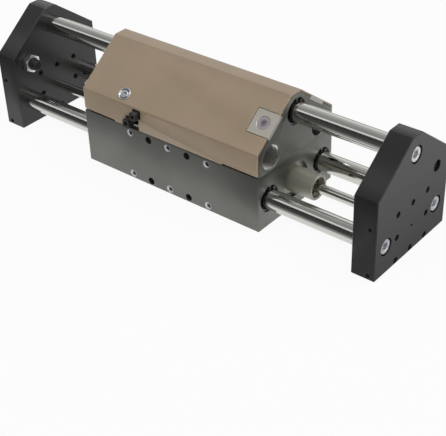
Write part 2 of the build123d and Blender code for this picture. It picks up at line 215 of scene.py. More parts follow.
def varied(tree: Tree, noise: Socket, colour: str, darkest: float,
           lightest: float = 1.0, span: tuple[float, float] = (0.3, 0.7)) -> Socket:
    """Vary a colour from a darker to a lighter shade.

    Args:
        tree: Node tree that takes the nodes.
        noise: What the shade follows.
        colour: The colour, in hex.
        darkest: Share of the colour in its darkest shade.
        lightest: Share of the colour in its lightest shade.
        span: The noise's values at those two shades.

    Returns:
        The varied colour.
    """
    base = linear(colour)[:3]
    shades = [tuple(min(1.0, c * share) for c in base) + (1.0,) for share in (darkest, lightest)]
    return ramp(tree, noise, zip(span, shades))


def with_painted_edge_highlights(tree: Tree, colour: Socket, edge_colour: str, width_mm: float) -> Socket:
    """Paint a bright line along the edges: a painted edge highlight, partly the bare metal of a deburred or
    thinly coated edge.

    Args:
        tree: Node tree that takes the nodes.
        colour: The colour of the faces.
        edge_colour: The colour of the painted edge highlight, in hex.
        width_mm: How far from the edge the line reaches.

    Returns:
        The colour with its painted edge highlights.
    """
    rounded = add_node(tree, "ShaderNodeBevel", {"samples": 6}, Radius=width_mm * MM)
    flat = add_node(tree, "ShaderNodeNewGeometry")
    likeness = add_node(tree, "ShaderNodeVectorMath", {"operation": "DOT_PRODUCT"},
                        i0=rounded.outputs[0], i1=flat.outputs["Normal"])
    # Painted edge highlight: 1 where the rounded normal turns away from the face's own, near an edge.
    edge_highlight_mask = add_node(tree, "ShaderNodeMapRange", {"clamp": True}, Value=likeness.outputs["Value"],
                    i1=0.985, i2=0.90, i3=0.0, i4=1.0)
    return add_node(tree, "ShaderNodeMix", {"data_type": "RGBA"}, i0=edge_highlight_mask.outputs[0], i6=colour,
                    i7=linear(edge_colour)).outputs[2]


def varied_value(tree: Tree, share: Socket, low: float, high: float) -> Socket:
    """Turn a share from 0 to 1 into a value from low to high.

    Args:
        tree: Node tree that takes the node.
        share: The share.
        low: Value where it is 0.
        high: Value where it is 1.

    Returns:
        The value.
    """
    return add_node(tree, "ShaderNodeMapRange", Value=share, i3=low, i4=high).outputs[0]


def relief(tree: Tree, height: Socket, strength: float, depth_mm: float, **under: Socket) -> Socket:
    """Add a bump.

    Args:
        tree: Node tree that takes the node.
        height: The bump's height.
        strength: How much of it shows.
        depth_mm: How deep it is.
        **under: Another bump that it lies on, as Normal.

    Returns:
        The bumped normal.
    """
    return add_node(tree, "ShaderNodeBump", Strength=strength, Distance=depth_mm * MM, Height=height,
                    **under).outputs[0]


def close_material(tree: Tree, **inputs: object) -> None:
    """Join the surface shader to the material's output.

    Args:
        tree: The material's node tree.
        **inputs: Inputs of the shader, as add_node takes them.
    """
    shader = add_node(tree, "ShaderNodeBsdfPrincipled", **inputs)
    add_node(tree, "ShaderNodeOutputMaterial", Surface=shader.outputs[0])


# Finishes


@dataclass(frozen=True)
class Anodised:
    """Aluminium, milled or extruded, then anodised: an even satin skin with a very fine grain.

    The eye sees a matt colour with a soft metallic sheen, finer and flatter than paint, and a thin
    bright line on each edge: a painted edge highlight, partly bare metal where an edge was deburred.
    """

    name: str
    colour: str
    edge_colour: str
    roughness: float
    metallic: float
    cutter_axis: int = X_AXIS
    cutter_mm: float = 1.6
    cutter_stretch: float = 0.03
    grain_mm: float = 0.5
    cloud_mm: float = 45.0
    edge_mm: float = 0.35
    mottling: float = 0.06
    depth_mm: float = 0.02

    def make(self) -> Material:
        """Build the material.

        Returns:
            The finished material.
        """
        material, tree = new_material(self.name)
        # Anodising grain: real pores are under 0.1 mm, drawn coarser so that they show.
        grain = object_noise(tree, self.grain_mm, 3.0, 0.6)
        cloud = object_noise(tree, self.cloud_mm, 2.0)
        stretch = [self.cutter_stretch if axis == self.cutter_axis else 1.0 for axis in range(3)]
        cutter = object_noise(tree, self.cutter_mm, 2.0, 0.55, stretch)
        faces = varied(tree, cloud, self.colour, 1 - self.mottling, 1 + self.mottling, (0.35, 0.65))
        lines = relief(tree, cutter, 0.05, self.depth_mm)
        # The edges get a painted highlight, partly standing for bare deburred metal.
        close_material(tree, Base_Color=with_painted_edge_highlights(tree, faces, self.edge_colour, self.edge_mm),
                       Metallic=self.metallic,
                       Roughness=varied_value(tree, cutter, self.roughness - 0.05, self.roughness + 0.06),
                       Normal=relief(tree, grain, 0.10, self.depth_mm, Normal=lines))
        return material


@dataclass(frozen=True)
class Enamel:
    """Steel sheet with a sprayed satin enamel.

    The eye sees a smooth, even coat with a faint orange peel, and a paler line on each edge: a painted edge
    highlight, partly where the coat thins over the edge.
    """

    name: str
    colour: str
    edge_colour: str
    roughness: float = 0.38
    peel_mm: float = 1.4
    cloud_mm: float = 70.0
    edge_mm: float = 0.6
    depth_mm: float = 0.05

    def make(self) -> Material:
        """Build the material.

        Returns:
            The finished material.
        """
        material, tree = new_material(self.name)
        peel = object_noise(tree, self.peel_mm, 1.0)
        faces = varied(tree, object_noise(tree, self.cloud_mm, 2.0), self.colour, 0.95, 1.04, (0.35, 0.65))
        # The edges get a painted highlight, partly standing for a thinner coat over the edge.
        close_material(tree, Base_Color=with_painted_edge_highlights(tree, faces, self.edge_colour, self.edge_mm),
                       Metallic=0.15, Roughness=self.roughness, Coat_Weight=0.15, Coat_Roughness=0.25,
                       Normal=relief(tree, peel, 0.10, self.depth_mm))
        return material


@dataclass(frozen=True)
class BareMetal:
    """A metal with no coat: ground, turned, plated or blackened.

    The eye sees reflections drawn out along the grinding or turning marks.
    """

    name: str
    colour: str
    roughness: float
    mark_mm: float = 0.4
    metallic: float = 1.0
    spread: float = 0.03
    mark_stretch: tuple[float, float, float] = (1.0, 0.06, 0.06)
    mark_depth: float = 0.06
    depth_mm: float = 0.01

    def make(self) -> Material:
        """Build the material.

        Returns:
            The finished material.
        """
        material, tree = new_material(self.name)
        marks = object_noise(tree, self.mark_mm, 3.0, 0.6, self.mark_stretch)
        close_material(tree, Base_Color=varied(tree, marks, self.colour, 0.92), Metallic=self.metallic,
                       Roughness=varied_value(tree, marks, self.roughness - self.spread,
                                              self.roughness + self.spread),
                       Normal=relief(tree, marks, self.mark_depth, self.depth_mm))
        return material


@dataclass(frozen=True)
class Moulding:
    """A moulded or cut polymer or rubber.

    The eye sees a soft skin with a fine spark texture, and light that sinks in where it is clear.
    """

    name: str
    colour: str
    roughness: float
    depth: float = 0.15
    translucency: float = 0.0
    texture_mm: float = 0.3
    depth_mm: float = 0.03
    light_mm: float = 1.5

    def make(self) -> Material:
        """Build the material.

        Returns:
            The finished material.
        """
        material, tree = new_material(self.name)
        texture = object_noise(tree, self.texture_mm, 2.0)
        inner = {}
        if self.translucency:
            inner = {"Subsurface_Weight": self.translucency, "Subsurface_Radius": (1.0, 0.95, 1.0),
                     "Subsurface_Scale": self.light_mm * MM}
        close_material(tree, Base_Color=varied(tree, texture, self.colour, 0.88), Roughness=self.roughness,
                       Normal=relief(tree, texture, self.depth, self.depth_mm), **inner)
        return material


FINISHES = {
    # The second colour of each anodised and enamel finish is its painted edge highlight.
    Slot.GREY_ANODISED: Anodised("hard_anodised_aluminium", "747570", "aeafa7", 0.38, 0.8),
    Slot.TAN_ENAMEL: Enamel("tan_satin_enamel", "ab977f", "e6dac4"),
    Slot.BLACK_ANODISED: Anodised("black_anodised_aluminium", "252525", "77777a", 0.30, 0.0, Y_AXIS),
    Slot.HARD_CHROME: BareMetal("ground_chromed_steel", "d0cfca", 0.13, 0.35),
    Slot.BEARING_STEEL: BareMetal("ground_bearing_steel", "b4b4b4", 0.22),
    Slot.ZINC_STEEL: BareMetal("bright_zinc_plated_steel", "dfe1e4", 0.30, 0.8, spread=0.06),
    Slot.BLACK_STEEL: BareMetal("black_oxide_steel", "3a3a3c", 0.38, metallic=0.8),
    Slot.BLACK_SPRING_STEEL: BareMetal("phosphated_spring_steel", "6c6c6e", 0.28, metallic=0.95),
    Slot.BLACK_RUBBER: Moulding("nitrile_rubber", "1c1c1d", 0.6),
    Slot.BEARING_BRONZE: BareMetal("sintered_bronze", "a87f4a", 0.4),
    Slot.NATURAL_PLASTIC: Moulding("natural_polyethylene", "a9a4ab", 0.35, 0.05, 0.35),
    # Paler than the housing's grey: partly painted light, so that the port pads look lit brighter on their
    # slopes.
    Slot.PLAIN_ALUMINIUM: BareMetal("machined_aluminium", "cbc7bd", 0.42, 0.6, 0.6),
    Slot.BLACK_PLASTIC: Moulding("glass_filled_nylon", "2c2c2e", 0.34, 0.2),
}

# The cylinder's caps are anodised in another bath than the blocks: paler, and a little olive.
CAP_FINISH = Anodised("olive_anodised_cap", "b6b3a5", "dedacd", 0.38, 0.35)

# Threads are cut after anodising, so their flanks are bare: each one flashes white or goes dark.
CUT_THREAD = BareMetal("cut_aluminium_thread", "f4f2ec", 0.24, metallic=0.9)


@dataclass
class Paintbox:
    """The finished materials, made once each."""

    made: dict[Slot, Material] = field(default_factory=dict)

    def get(self, slot: Slot) -> Material:
        """Give a slot's material, and make it on first use.

        Args:
            slot: The slot.

        Returns:
            Its material.
        """
        if slot not in self.made:
            self.made[slot] = FINISHES[slot].make()
        return self.made[slot]


# Places and meshes


class Section(Enum):
    """Outline of one ring of a lathe form, seen along its axis."""

    ROUND = "round"
    HEXAGON = "hexagon"
    KNURL = "knurl"


@dataclass(frozen=True)
class Step:
    """One ring of a lathe form, in millimetres: its place along the axis and its radius.

    A hexagon's radius is half its width across flats, and its corners lie lower than its flats by fall
    times as much as they stand out, which is how a cone cuts them.
    """

    along: float
    radius: float
    section: Section = Section.ROUND
    fall: float = 0.0
    knurl_depth: float = 0.018

    def reach(self, index: int, segments: int) -> float:
        """Give the distance from the axis of one of the ring's vertices.

        Args:
            index: The vertex's number round the ring.
            segments: Number of vertices round it.

        Returns:
            The distance in millimetres.
        """
        if self.section is Section.HEXAGON:
            turn = 2 * math.pi * index / segments
            return self.radius / math.cos((turn + math.pi / 6) % (math.pi / 3) - math.pi / 6)
        if self.section is Section.KNURL:
            return self.radius * (1.0 - self.knurl_depth * (index % 2))
        return self.radius


def seat(at: Point, outward: Point, across: Point = (1.0, 0.0, 0.0)) -> Matrix:
    """Work out where a piece sits: its Z axis points outward and its X axis lies near across.

    Args:
        at: The seat's centre in millimetres.
        outward: Direction that the piece faces.
        across: Direction that fixes the piece's turn about its axis.

    Returns:
        A matrix from the piece's own millimetres to the scene's metres, without scale.
    """
    z_axis = Vector(outward).normalized()
    x_axis = (Vector(across) - z_axis * Vector(across).dot(z_axis)).normalized()
    y_axis = z_axis.cross(x_axis)
    turn = Matrix((x_axis, y_axis, z_axis)).transposed()
    return Matrix.Translation(Vector(at) * MM) @ turn.to_4x4()


def end_seat(end: End, place: Place, out: float) -> Matrix:
    """Work out a seat on an end of the module, facing outward along X.

    Args:
        end: Which end.
        place: Place across and height, in millimetres.
        out: Distance from the middle in millimetres.

    Returns:
        The seat's matrix, with its X axis towards +Y.
    """
    return seat((end.value * out, *place), (end.value, 0, 0), (0, 1, 0))


def both_ends(out: float, *places: Place) -> list[Matrix]:
    """Work out the same seats on both ends.

    Args:
        out: Distance from the middle in millimetres.
        *places: Place across and height of each seat.

    Returns:
        The seats, end by end.
    """
    return [end_seat(end, place, out) for end in End for place in places]


def crossed_ends(out: float, place: Place, hand: int) -> list[Matrix]:
    """Work out one seat on each end, on opposite sides of the module.

    Args:
        out: Distance from the middle in millimetres.
        place: Place across and height of the seat.
        hand: 1 where the right end's seat lies on the +Y side, -1 for the other side.

    Returns:
        The two seats.
    """
    return [end_seat(end, (hand * end.value * place[0], place[1]), out) for end in End]


def bridge(work: Work, rings: list[list[bmesh.types.BMVert]]) -> None:
    """Join rings of vertices into a closed skin, the last ring to the first.

    Args:
        work: Mesh that takes the faces.
        rings: Rings of equal length, or single vertices on the axis.
    """
    segments = max(len(ring) for ring in rings)
    for near, far in zip(rings, rings[1:] + rings[:1]):
        if len(near) == 1 and len(far) == 1:
            continue
        for i in range(segments):
            j = (i + 1) % segments
            if len(near) == 1:
                work.faces.new((near[0], far[j], far[i]))
            elif len(far) == 1:
                work.faces.new((near[i], near[j], far[0]))
            else:
                work.faces.new((near[i], near[j], far[j], far[i]))


def rectangle(work: Work, low: Point, high: Point) -> None:
    """Add a flat rectangle that runs along X.

    Args:
        work: Mesh that takes it.
        low: Its corner with the lowest coordinates, in metres.
        high: The corner across from it.
    """
    corners = (low, (high[0], *low[1:]), high, (low[0], *high[1:]))
    work.faces.new([work.verts.new(corner) for corner in corners])


def lathe(work: Work, steps: Iterable[Step], place: Matrix, segments: int) -> None:
    """Turn a closed profile about the Z axis of a seat.

    Args:
        work: Mesh that takes the form.
        steps: The profile's rings, in order round a closed section.
        place: The seat.
        segments: Steps round the axis, a multiple of 12.
    """
    rings = []
    for step in steps:
        if not step.radius:
            rings.append([work.verts.new(place @ Vector((0, 0, step.along * MM)))])
            continue
        ring = []
        for i in range(segments):
            turn = 2 * math.pi * i / segments
            reach = step.reach(i, segments)
            level = step.along - step.fall * (reach - step.radius)
            ring.append(work.verts.new(
                place @ (Vector((reach * math.cos(turn), reach * math.sin(turn), level)) * MM)))
        rings.append(ring)
    bridge(work, rings)


def finish_mesh(mesh: bpy.types.Mesh, material: Material, sharp_degrees: float = SHARP_DEGREES) -> Piece:
    """Put a mesh in the scene with its material, smooth but for its sharp edges.

    Args:
        mesh: The mesh, whose name the object takes.
        material: The object's only material.
        sharp_degrees: Edges that turn more than this stay sharp.

    Returns:
        The object, at the origin.
    """
    mesh.materials.clear()
    mesh.materials.append(material)
    mesh.shade_smooth()
    mesh.set_sharp_from_angle(angle=math.radians(sharp_degrees))
    piece = bpy.data.objects.new(mesh.name, mesh)
    bpy.context.scene.collection.objects.link(piece)
    return piece


def object_from(name: str, build: Callable[[Work], None], material: Material) -> Piece:
    """Make an object from a function that fills a bmesh.

    Args:
        name: The new object's name.
        build: Function that adds the geometry, in metres.
        material: The object's only material.

    Returns:
        The object, linked to the scene.
    """
    mesh = bpy.data.meshes.new(name)
    work = bmesh.new()
    build(work)
    bmesh.ops.recalc_face_normals(work, faces=work.faces)
    work.to_mesh(mesh)
    work.free()
    return finish_mesh(mesh, material)


def lathe_object(name: str, steps: Iterable[Step], place: Matrix, material: Material,
                 segments: int = ROUND_STEPS) -> Piece:
    """Make an object from one lathe form.

    Args:
        name: The new object's name.
        steps: The form's profile.
        place: Its seat.
        material: The object's material.
        segments: Steps round the axis.

    Returns:
        The object.
    """
    return object_from(name, lambda work: lathe(work, steps, place, segments), material)


# Geometry Nodes


def new_tree(name: str, sockets: list[tuple[str, str]]) -> tuple[Tree, bpy.types.Node]:
    """Start a Geometry Nodes tree.

    Args:
        name: The tree's name.
        sockets: Name and socket type of each input after the geometry.

    Returns:
        The tree and its input node.
    """
    tree = bpy.data.node_groups.new(name, "GeometryNodeTree")
    tree.interface.new_socket("Geometry", in_out="INPUT", socket_type="NodeSocketGeometry")
    for label, kind in sockets:
        tree.interface.new_socket(label, in_out="INPUT", socket_type=kind)
    tree.interface.new_socket("Geometry", in_out="OUTPUT", socket_type="NodeSocketGeometry")
    return tree, tree.nodes.new("NodeGroupInput")


def end_tree(tree: Tree, instances: Socket, material: Socket) -> None:
    """Realise the instances, give them their material and close the tree.

    Args:
        tree: The tree.
        instances: Its repeated forms.
        material: Their material.
    """
    real = add_node(tree, "GeometryNodeRealizeInstances", Geometry=instances)
    done = add_node(tree, "GeometryNodeSetMaterial", Geometry=real.outputs[0], Material=material)
    add_node(tree, "NodeGroupOutput", Geometry=done.outputs[0])


def turned_seats(tree: Tree) -> Socket:
    """Read the turn that each seat's point carries.

    Args:
        tree: Tree that takes the nodes.

    Returns:
        The turn as a rotation.
    """
    turn = add_node(tree, "GeometryNodeInputNamedAttribute", {"data_type": "FLOAT_VECTOR"}, Name="turn")
    return add_node(tree, "FunctionNodeEulerToRotation", Euler=turn.outputs["Attribute"]).outputs[0]


def thread_tree() -> Tree:
    """Build the tree that stacks the ridges of a screw thread below each seat.

    Returns:
        The tree, with the thread's sizes as named inputs.
    """
    tree, given = new_tree("screw_thread", [
        ("Radius", "NodeSocketFloat"), ("Ridge", "NodeSocketFloat"), ("Pitch", "NodeSocketFloat"),
        ("Turns", "NodeSocketInt"), ("Steps", "NodeSocketInt"), ("Crest Turn", "NodeSocketFloat"),
        ("Material", "NodeSocketMaterial")])
    ridge = add_node(tree, "GeometryNodeCurvePrimitiveCircle", Resolution=3, Radius=given.outputs["Ridge"])
    side = add_node(tree, "ShaderNodeCombineXYZ", Z=given.outputs["Crest Turn"])
    facing = add_node(tree, "FunctionNodeEulerToRotation", Euler=side.outputs[0])
    apex = add_node(tree, "GeometryNodeTransform", Geometry=ridge.outputs[0], Rotation=facing.outputs[0])
    round_curve = add_node(tree, "GeometryNodeCurvePrimitiveCircle", Resolution=given.outputs["Steps"],
                           Radius=given.outputs["Radius"])
    turn = add_node(tree, "GeometryNodeCurveToMesh", Curve=round_curve.outputs[0],
                    Profile_Curve=apex.outputs[0])
    down = add_node(tree, "ShaderNodeMath", {"operation": "MULTIPLY"}, i0=given.outputs["Pitch"], i1=-1.0)
    drop = add_node(tree, "ShaderNodeCombineXYZ", Z=down.outputs[0])
    line = add_node(tree, "GeometryNodeMeshLine", Count=given.outputs["Turns"], Offset=drop.outputs[0],
                    Start_Location=drop.outputs[0])
    stack = add_node(tree, "GeometryNodeInstanceOnPoints", Points=line.outputs[0], Instance=turn.outputs[0])
    seats = add_node(tree, "GeometryNodeInstanceOnPoints", Points=given.outputs["Geometry"],
                     Instance=stack.outputs[0], Rotation=turned_seats(tree))
    end_tree(tree, seats.outputs[0], given.outputs["Material"])
    return tree


def repeat_tree() -> Tree:
    """Build the tree that puts a copy of one piece on each seat.

    Returns:
        The tree, with the piece as a named input.
    """
    tree, given = new_tree("repeat_on_seats", [
        ("Piece", "NodeSocketObject"), ("Material", "NodeSocketMaterial")])
    piece = add_node(tree, "GeometryNodeObjectInfo", Object=given.outputs["Piece"])
    seats = add_node(tree, "GeometryNodeInstanceOnPoints", Points=given.outputs["Geometry"],
                     Instance=piece.outputs["Geometry"], Rotation=turned_seats(tree))
    end_tree(tree, seats.outputs[0], given.outputs["Material"])
    return tree


def grow(name: str, seats: list[Matrix], tree: Tree, inputs: dict[str, object]) -> Piece:
    """Run a tree on a set of seats and keep the result as a plain mesh.

    Args:
        name: The new object's name.
        seats: Where the repeated forms sit.
        tree: Geometry Nodes tree to run.
        inputs: Values of the tree's named inputs.

    Returns:
        The object, at the origin.
    """
    points = bpy.data.meshes.new(name + "_seats")
    points.from_pydata([place.translation for place in seats], [], [])
    turns = points.attributes.new("turn", "FLOAT_VECTOR", "POINT")
    for item, place in zip(turns.data, seats):
        item.vector = Vector(place.to_euler())
    holder = bpy.data.objects.new(name + "_seats", points)
    bpy.context.scene.collection.objects.link(holder)
    modifier = holder.modifiers.new("grow", "NODES")
    modifier.node_group = tree
    for item in tree.interface.items_tree:
        if item.item_type == "SOCKET" and item.in_out == "INPUT" and item.name in inputs:
            modifier[item.identifier] = inputs[item.name]
    graph = bpy.context.evaluated_depsgraph_get()
    mesh = bpy.data.meshes.new_from_object(holder.evaluated_get(graph), depsgraph=graph)
    holder.modifiers.remove(modifier)
    bpy.data.objects.remove(holder)
    mesh.name = name
    mesh.polygons.foreach_set("material_index", [0] * len(mesh.polygons))
    return finish_mesh(mesh, inputs["Material"])


@dataclass(frozen=True)
class Thread:
    """A screw thread, in millimetres: the ridges' middle, its pitch, its depth and the ridges' height."""

    radius: float
    pitch: float
    length: float
    ridge: float
    steps: int
    internal: bool = True


@dataclass
class Workshop:
    """What every sub-assembly shares: the finishes, the trees, and how a piece is handed over."""

    paints: Paintbox
    threads: Tree = field(default_factory=thread_tree)
    repeats: Tree = field(default_factory=repeat_tree)
    replaced: set[str] = field(default_factory=set)

    def hand_over(self, piece: Piece, body: Body, slot: Slot, *replaced: str) -> None:
        """Fix a finished piece to its body.

        Args:
            piece: The finished piece.
            body: The body that carries it.
            slot: Its material slot in the record; not used.
            *replaced: CAD nodes that it stands for.
        """
        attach(piece, body)
        if replaced:
            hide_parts(*replaced)
            self.replaced.update(replaced)
        log.info("made %s on %s", piece.name, body)

    def fit_bar(self, name: str, half: list[Step], place: Place, node: str,
                segments: int) -> None:
        """Turn one chromed bar, alike at both ends, and fix it to the carriage.

        Args:
            name: The new object's name.
            half: The profile of its right half.
            place: Place across and height of its axis.
            node: The CAD node that it stands for.
            segments: Steps round the axis.
        """
        steps = [Step(-step.along, step.radius) for step in reversed(half)] + half
        piece = lathe_object(name, steps, end_seat(End.RIGHT, place, 0), self.paints.get(Slot.HARD_CHROME),
                             segments)
        self.hand_over(piece, Body.CARRIAGE, Slot.HARD_CHROME, node)

    def repeat(self, name: str, one: Piece, seats: list[Matrix], slot: Slot) -> Piece:
        """Repeat a form on several seats with Geometry Nodes, and drop the form itself.

        Args:
            name: The new object's name.
            one: The form, made at the origin.
            seats: Where the copies sit.
            slot: Their finish.

        Returns:
            The object with all the copies.
        """
        many = grow(name, seats, self.repeats, {"Piece": one, "Material": self.paints.get(slot)})
        bpy.data.objects.remove(one)
        return many

    def fit_turned(self, name: str, steps: list[Step], seats: list[Matrix], body: Body, slot: Slot,
                   *replaced: str, segments: int = ROUND_STEPS) -> None:
        """Turn one form, repeat it on several seats and fix it to its body.

        Args:
            name: The new object's name.
            steps: The form's profile.
            seats: Where the copies sit.
            body: The body that carries them.
            slot: Their finish.
            *replaced: CAD nodes that they stand for.
            segments: Steps round the axis.
        """
        one = lathe_object(name + "_one", steps, Matrix.Identity(4), self.paints.get(slot), segments)
        self.hand_over(self.repeat(name, one, seats, slot), body, slot, *replaced)

    def fit_thread(self, name: str, thread: Thread, seats: list[Matrix], body: Body, slot: Slot,
                   finish: Material | None = None) -> None:
        """Cut or raise a screw thread at each seat and fix it to its body.

        Args:
            name: The new object's name.
            thread: The thread's sizes.
            seats: Mouths of the holes, or ends of the screws.
            body: The body that carries them.
            slot: Their slot, which also gives their finish.
            finish: Another finish than the slot's.
        """
        piece = grow(name, seats, self.threads, {
            "Radius": thread.radius * MM, "Ridge": thread.ridge * MM, "Pitch": thread.pitch * MM,
            "Turns": int(thread.length / thread.pitch), "Steps": thread.steps,
            "Crest Turn": math.pi if thread.internal else 0.0, "Material": finish or self.paints.get(slot)})
        self.hand_over(piece, body, slot)


# Studio


@dataclass
class Studio:
    """Camera, floor, backdrop and lamps of the product photograph, in metres."""

    camera_at: Vector = field(default_factory=lambda: Vector((0.6460, -0.7349, 0.6186)))
    right: Vector = field(default_factory=lambda: Vector((0.77373, 0.63272, -0.03184)))
    up: Vector = field(default_factory=lambda: Vector((-0.34227, 0.45978, 0.81942)))
    focal_px: float = 1110.1
    film_mm: float = 36.0
    far_clip: float = 50.0
    aim: Point = (0.0, 0.0, 0.05)
    white: str = "ffffff"
    paper: str = "f6f6f6"
    paper_glow: float = 0.93
    sky_light: float = 0.33
    floor_half: float = 8.0
    floor_level: float = -0.0002

    def camera(self) -> None:
        """Place the camera of the photograph."""
        back = self.right.cross(self.up).normalized()
        data = bpy.data.cameras.new("camera")
        data.sensor_width = self.film_mm
        data.lens = self.focal_px / IMAGE_WIDTH * data.sensor_width
        data.clip_end = self.far_clip
        camera = bpy.data.objects.new("camera", data)
        turn = Matrix((self.right, self.up, back)).transposed()
        camera.matrix_world = Matrix.Translation(self.camera_at) @ turn.to_4x4()
        bpy.context.scene.collection.objects.link(camera)
        bpy.context.scene.camera = camera

    def seen_ray(self, tree: Tree) -> Socket:
        """Tell the rays that see the white background: camera, glossy and transmission rays.

        Args:
            tree: Tree that takes the nodes.

        Returns:
            1 for such a ray and 0 for any other.
        """
        path = add_node(tree, "ShaderNodeLightPath")
        seen = add_node(tree, "ShaderNodeMath", {"operation": "MAXIMUM"}, i0=path.outputs["Is Camera Ray"],
                        i1=path.outputs["Is Glossy Ray"])
        return add_node(tree, "ShaderNodeMath", {"operation": "MAXIMUM"}, i0=seen.outputs[0],
                        i1=path.outputs["Is Transmission Ray"]).outputs[0]

    def world(self) -> None:
        """Light the object evenly, and show white to the camera and in reflections."""
        world = bpy.data.worlds.new("studio")
        bpy.context.scene.world = world
        world.use_nodes = True
        tree = world.node_tree
        tree.nodes.clear()
        shader = add_node(tree, "ShaderNodeBackground", Color=linear(self.white),
                          Strength=varied_value(tree, self.seen_ray(tree), self.sky_light, 1.0))
        add_node(tree, "ShaderNodeOutputWorld", Surface=shader.outputs[0])

    def floor(self) -> None:
        """Lay a white floor that keeps the object's shadow."""
        material, tree = new_material("white_paper")
        paper = add_node(tree, "ShaderNodeBsdfDiffuse", Color=linear(self.paper))
        glow = add_node(tree, "ShaderNodeEmission", Color=linear(self.white), Strength=1.0)
        share = varied_value(tree, self.seen_ray(tree), 0.0, self.paper_glow)
        mix = add_node(tree, "ShaderNodeMixShader", Fac=share, i1=paper.outputs[0], i2=glow.outputs[0])
        add_node(tree, "ShaderNodeOutputMaterial", Surface=mix.outputs[0])
        low, high = (-self.floor_half, -self.floor_half), (self.floor_half, self.floor_half)
        object_from("floor", lambda work: rectangle(
            work, (*low, self.floor_level), (*high, self.floor_level)), material)

    def lamp(self, name: str, at: Point, size: tuple[float, float], power: float,
             mirrored: bool = True) -> None:
        """Hang one soft box that faces the object.

        Args:
            name: The lamp's name.
            at: Its centre, in metres.
            size: Its width and height, in metres.
            power: Its power in watts.
            mirrored: Whether shiny pieces mirror the soft box itself.
        """
        data = bpy.data.lights.new(name, "AREA")
        data.shape = "RECTANGLE"
        data.size, data.size_y = size
        data.energy = power
        lamp = bpy.data.objects.new(name, data)
        lamp.location = at
        lamp.rotation_euler = (Vector(self.aim) - Vector(at)).to_track_quat("-Z", "Y").to_euler()
        lamp.visible_glossy = mirrored
        bpy.context.scene.collection.objects.link(lamp)

    def card(self, name: str, low_corner: Point, high_corner: Point, axis: int,
             stops: list[tuple[float, str]]) -> None:
        """Stand a card that only reflections see, as a photographer's flag or screen.

        Args:
            name: The card's name.
            low_corner: Its corner with the lowest coordinates.
            high_corner: The corner across from it.
            axis: The axis that its shade runs along.
            stops: Places along that axis with the card's colour there, in rising order.
        """
        material, tree = new_material(name + "_matt")
        place = add_node(tree, "ShaderNodeTexCoord").outputs["Object"]
        along = add_node(tree, "ShaderNodeSeparateXYZ", Vector=place).outputs[axis]
        low, high = stops[0][0], stops[-1][0]
        share = add_node(tree, "ShaderNodeMapRange", Value=along, i1=low, i2=high)
        shade = ramp(tree, share.outputs[0], [((at - low) / (high - low), linear(c)) for at, c in stops])
        shader = add_node(tree, "ShaderNodeEmission", Color=shade, Strength=1.0)
        add_node(tree, "ShaderNodeOutputMaterial", Surface=shader.outputs[0])
        card = object_from(name, lambda work: rectangle(work, low_corner, high_corner), material)
        card.visible_camera = False
        card.visible_diffuse = False
        card.visible_shadow = False
        card.visible_transmission = False

    def build(self) -> None:
        """Set up the whole studio."""
        bpy.context.scene.view_settings.view_transform = "Standard"
        self.camera()
        self.world()
        self.floor()
        self.lamp("strip", (-0.5, -1.25, 1.72), (3.4, 0.34), 14.5, mirrored=False)
        self.lamp("key", (0.9, 0.5, 1.5), (0.9, 0.9), 8.0)
        self.card("front_flag", (-4.0, -1.6, -0.05), (1.5, -1.6, 1.65), Z_AXIS,
                  [(0.0, "525252"), (1.0, "3c3c3c"), (1.65, "3c3c3c")])
        self.card("floor_flag", (-4.0, -1.6, 0.001), (1.5, -0.10, 0.001), Y_AXIS,
                  [(-1.6, "484848"), (-0.5, "505050"), (-0.25, "7c7c7c"), (-0.10, "b0b0b0")])
        # A floor card seen only in reflections, darker next to the module: a painted shadow of the module on
        # the floor.
        self.card("right_floor", (0.2, -0.4, 0.0004), (0.6, 0.9, 0.0004), X_AXIS,
                  [(0.2, "a8a8a8"), (0.25, "b4b4b4"), (0.34, "f4f4f4"), (0.6, "ffffff")])
        self.card("back_flag", (-4.0, 2.3, -0.05), (2.5, 2.3, 0.6), Z_AXIS,
                  [(0.0, "8a8a8a"), (0.6, "5a5a5a")])
        self.card("overhead", (-4.0, -0.95, 1.75), (1.5, 2.2, 1.75), Y_AXIS,
                  [(-0.95, "989898"), (0.0, "a4a4a4"), (0.8, "c5c5c5"), (2.2, "f0f0f0")])


# The module's sub-assemblies


